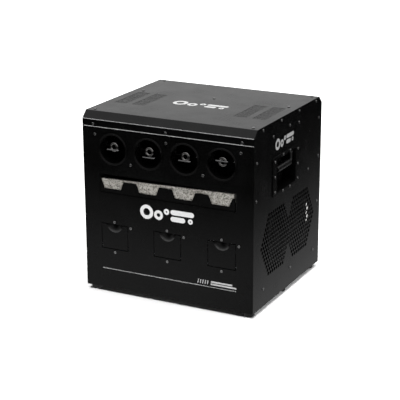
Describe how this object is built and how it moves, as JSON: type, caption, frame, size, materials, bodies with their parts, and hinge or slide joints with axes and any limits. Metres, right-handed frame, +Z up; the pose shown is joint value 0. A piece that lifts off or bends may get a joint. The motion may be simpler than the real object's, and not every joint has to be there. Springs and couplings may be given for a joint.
{
  "type": "stage bubble machine",
  "caption": "Portable black sheet-metal cabinet with round nozzle outlets, a drip tray slot, finger-pull flaps, vents and side handles, read as a bubble machine.",
  "frame": {"origin": "centre of the footprint, on the surface the rubber feet stand on", "axes": "+X to the right seen from the front, +Y to the rear, +Z up"},
  "size_m": [0.5084, 0.4567, 0.5022],
  "materials": {
    "black_coat": "satin black powder coat",
    "gloss_black": "gloss moulded",
    "nozzle": "polished dark nickel",
    "rod": "bright drawn wire",
    "foam": "open-cell foam",
    "rubber": "matte",
    "tank": "natural polyethylene",
    "cap": "moulded",
    "zinc": "zinc plated",
    "black_plastic": "moulded",
    "motor": "moulded with steel can",
    "screw": "blackened steel",
    "hose": "silicone",
    "alu": "folded sheet",
    "board": "green solder mask",
    "white": "nylon",
    "display": "smoked window"
  },
  "bodies": {
    "cabinet": {"base_pan": "black_coat", "rubber_feet": "rubber", "frame_angles": "black_coat", "front_panel": "black_coat", "rear_panel": "black_coat", "side_panel_left": "black_coat", "side_panel_right": "black_coat", "top_cover": "black_coat", "vent_screens": "black_coat", "panel_screws": "screw", "equipment_deck": "black_coat", "nozzles": "nozzle", "wiper_motors": "motor", "air_plenum": "black_coat", "blower_housing": "black_plastic", "tray_rails": "zinc", "flap_hinges": "zinc", "fluid_pump": "motor", "fluid_lines": "hose", "delivery_hose": "hose", "side_fan_frames": "black_plastic", "power_supply": "alu", "control_board": "board", "terminal_strip": "white", "power_inlet": "black_plastic", "power_switch_body": "black_plastic", "signal_sockets": "black_plastic", "display_module": "display", "outlet_cup_1": "gloss_black", "outlet_cup_2": "gloss_black", "outlet_cup_3": "gloss_black", "outlet_cup_4": "gloss_black", "fluid_tank_1": "tank", "fluid_tank_2": "tank", "fluid_tank_3": "tank", "handle_dish_left": "black_coat", "handle_dish_right": "black_coat"},
    "wiper_arm_1": {"wiper_1": "rod"},
    "wiper_arm_2": {"wiper_2": "rod"},
    "wiper_arm_3": {"wiper_3": "rod"},
    "wiper_arm_4": {"wiper_4": "rod"},
    "impeller": {"blower_impeller": "black_plastic"},
    "tray": {"drip_tray": "black_coat", "foam_strip": "foam"},
    "flap_1": {"access_flap_1": "black_coat"},
    "flap_2": {"access_flap_2": "black_coat"},
    "flap_3": {"access_flap_3": "black_coat"},
    "cap_1": {"tank_cap_1": "cap"},
    "cap_2": {"tank_cap_2": "cap"},
    "cap_3": {"tank_cap_3": "cap"},
    "fan_1": {"side_fan_rotor_1": "black_plastic"},
    "fan_2": {"side_fan_rotor_2": "black_plastic"},
    "fan_3": {"side_fan_rotor_3": "black_plastic"},
    "fan_4": {"side_fan_rotor_4": "black_plastic"},
    "handle_left": {"handle_bail_left": "zinc", "handle_grip_left": "rubber"},
    "handle_right": {"handle_bail_right": "zinc", "handle_grip_right": "rubber"},
    "rocker": {"power_switch_rocker": "black_plastic"},
    "knob": {"menu_knob": "black_plastic"}
  },
  "joints": [
    {"name": "wiper_1_swing", "type": "hinge", "parent": "cabinet", "child": "wiper_arm_1", "pos_m": [-0.15945, -0.1885, 0.405], "axis": [1, 0, 0], "range_deg": [-54.3, 45.7]},
    {"name": "wiper_2_swing", "type": "hinge", "parent": "cabinet", "child": "wiper_arm_2", "pos_m": [-0.05315, -0.1885, 0.405], "axis": [1, 0, 0], "range_deg": [-72, 28]},
    {"name": "wiper_3_swing", "type": "hinge", "parent": "cabinet", "child": "wiper_arm_3", "pos_m": [0.05315, -0.1885, 0.405], "axis": [1, 0, 0], "range_deg": [-61.8, 38.2]},
    {"name": "wiper_4_swing", "type": "hinge", "parent": "cabinet", "child": "wiper_arm_4", "pos_m": [0.15945, -0.1885, 0.405], "axis": [1, 0, 0], "range_deg": [-36.1, 63.9]},
    {"name": "blower_spin", "type": "hinge", "parent": "cabinet", "child": "impeller", "pos_m": [0, -0.022, 0.365], "axis": [0, 0, 1], "continuous": true},
    {"name": "tray_slide", "type": "slide", "parent": "cabinet", "child": "tray", "axis": [0, -1, 0], "range_m": [0, 0.08]},
    {"name": "flap_1_hinge", "type": "hinge", "parent": "cabinet", "child": "flap_1", "pos_m": [-0.15945, -0.2175, 0.132], "axis": [1, 0, 0], "range_deg": [0, 90]},
    {"name": "flap_2_hinge", "type": "hinge", "parent": "cabinet", "child": "flap_2", "pos_m": [0, -0.2175, 0.132], "axis": [1, 0, 0], "range_deg": [0, 90]},
    {"name": "flap_3_hinge", "type": "hinge", "parent": "cabinet", "child": "flap_3", "pos_m": [0.15945, -0.2175, 0.132], "axis": [1, 0, 0], "range_deg": [0, 90]},
    {"name": "cap_1_turn", "type": "hinge", "parent": "cabinet", "child": "cap_1", "pos_m": [-0.15945, -0.1855, 0.13178], "axis": [0, -0.5, 0.866], "range_deg": [0, 90]},
    {"name": "cap_2_turn", "type": "hinge", "parent": "cabinet", "child": "cap_2", "pos_m": [0, -0.1855, 0.13178], "axis": [0, -0.5, 0.866], "range_deg": [0, 90]},
    {"name": "cap_3_turn", "type": "hinge", "parent": "cabinet", "child": "cap_3", "pos_m": [0.15945, -0.1855, 0.13178], "axis": [0, -0.5, 0.866], "range_deg": [0, 90]},
    {"name": "fan_1_spin", "type": "hinge", "parent": "cabinet", "child": "fan_1", "pos_m": [-0.237, -0.066, 0.175], "axis": [1, 0, 0], "continuous": true},
    {"name": "fan_2_spin", "type": "hinge", "parent": "cabinet", "child": "fan_2", "pos_m": [-0.237, 0.066, 0.175], "axis": [1, 0, 0], "continuous": true},
    {"name": "fan_3_spin", "type": "hinge", "parent": "cabinet", "child": "fan_3", "pos_m": [0.237, -0.066, 0.175], "axis": [1, 0, 0], "continuous": true},
    {"name": "fan_4_spin", "type": "hinge", "parent": "cabinet", "child": "fan_4", "pos_m": [0.237, 0.066, 0.175], "axis": [1, 0, 0], "continuous": true},
    {"name": "handle_left_swing", "type": "hinge", "parent": "cabinet", "child": "handle_left", "pos_m": [-0.24, -0.022, 0.386], "axis": [0, 1, 0], "range_deg": [0, 90]},
    {"name": "handle_right_swing", "type": "hinge", "parent": "cabinet", "child": "handle_right", "pos_m": [0.24, -0.022, 0.386], "axis": [0, -1, 0], "range_deg": [0, 90]},
    {"name": "switch_rock", "type": "hinge", "parent": "cabinet", "child": "rocker", "pos_m": [-0.14, 0.2155, 0.11], "axis": [1, 0, 0], "range_deg": [-20, 0]},
    {"name": "knob_turn", "type": "hinge", "parent": "cabinet", "child": "knob", "pos_m": [0.175, 0.2285, 0.4], "axis": [0, 1, 0], "continuous": true}
  ]
}
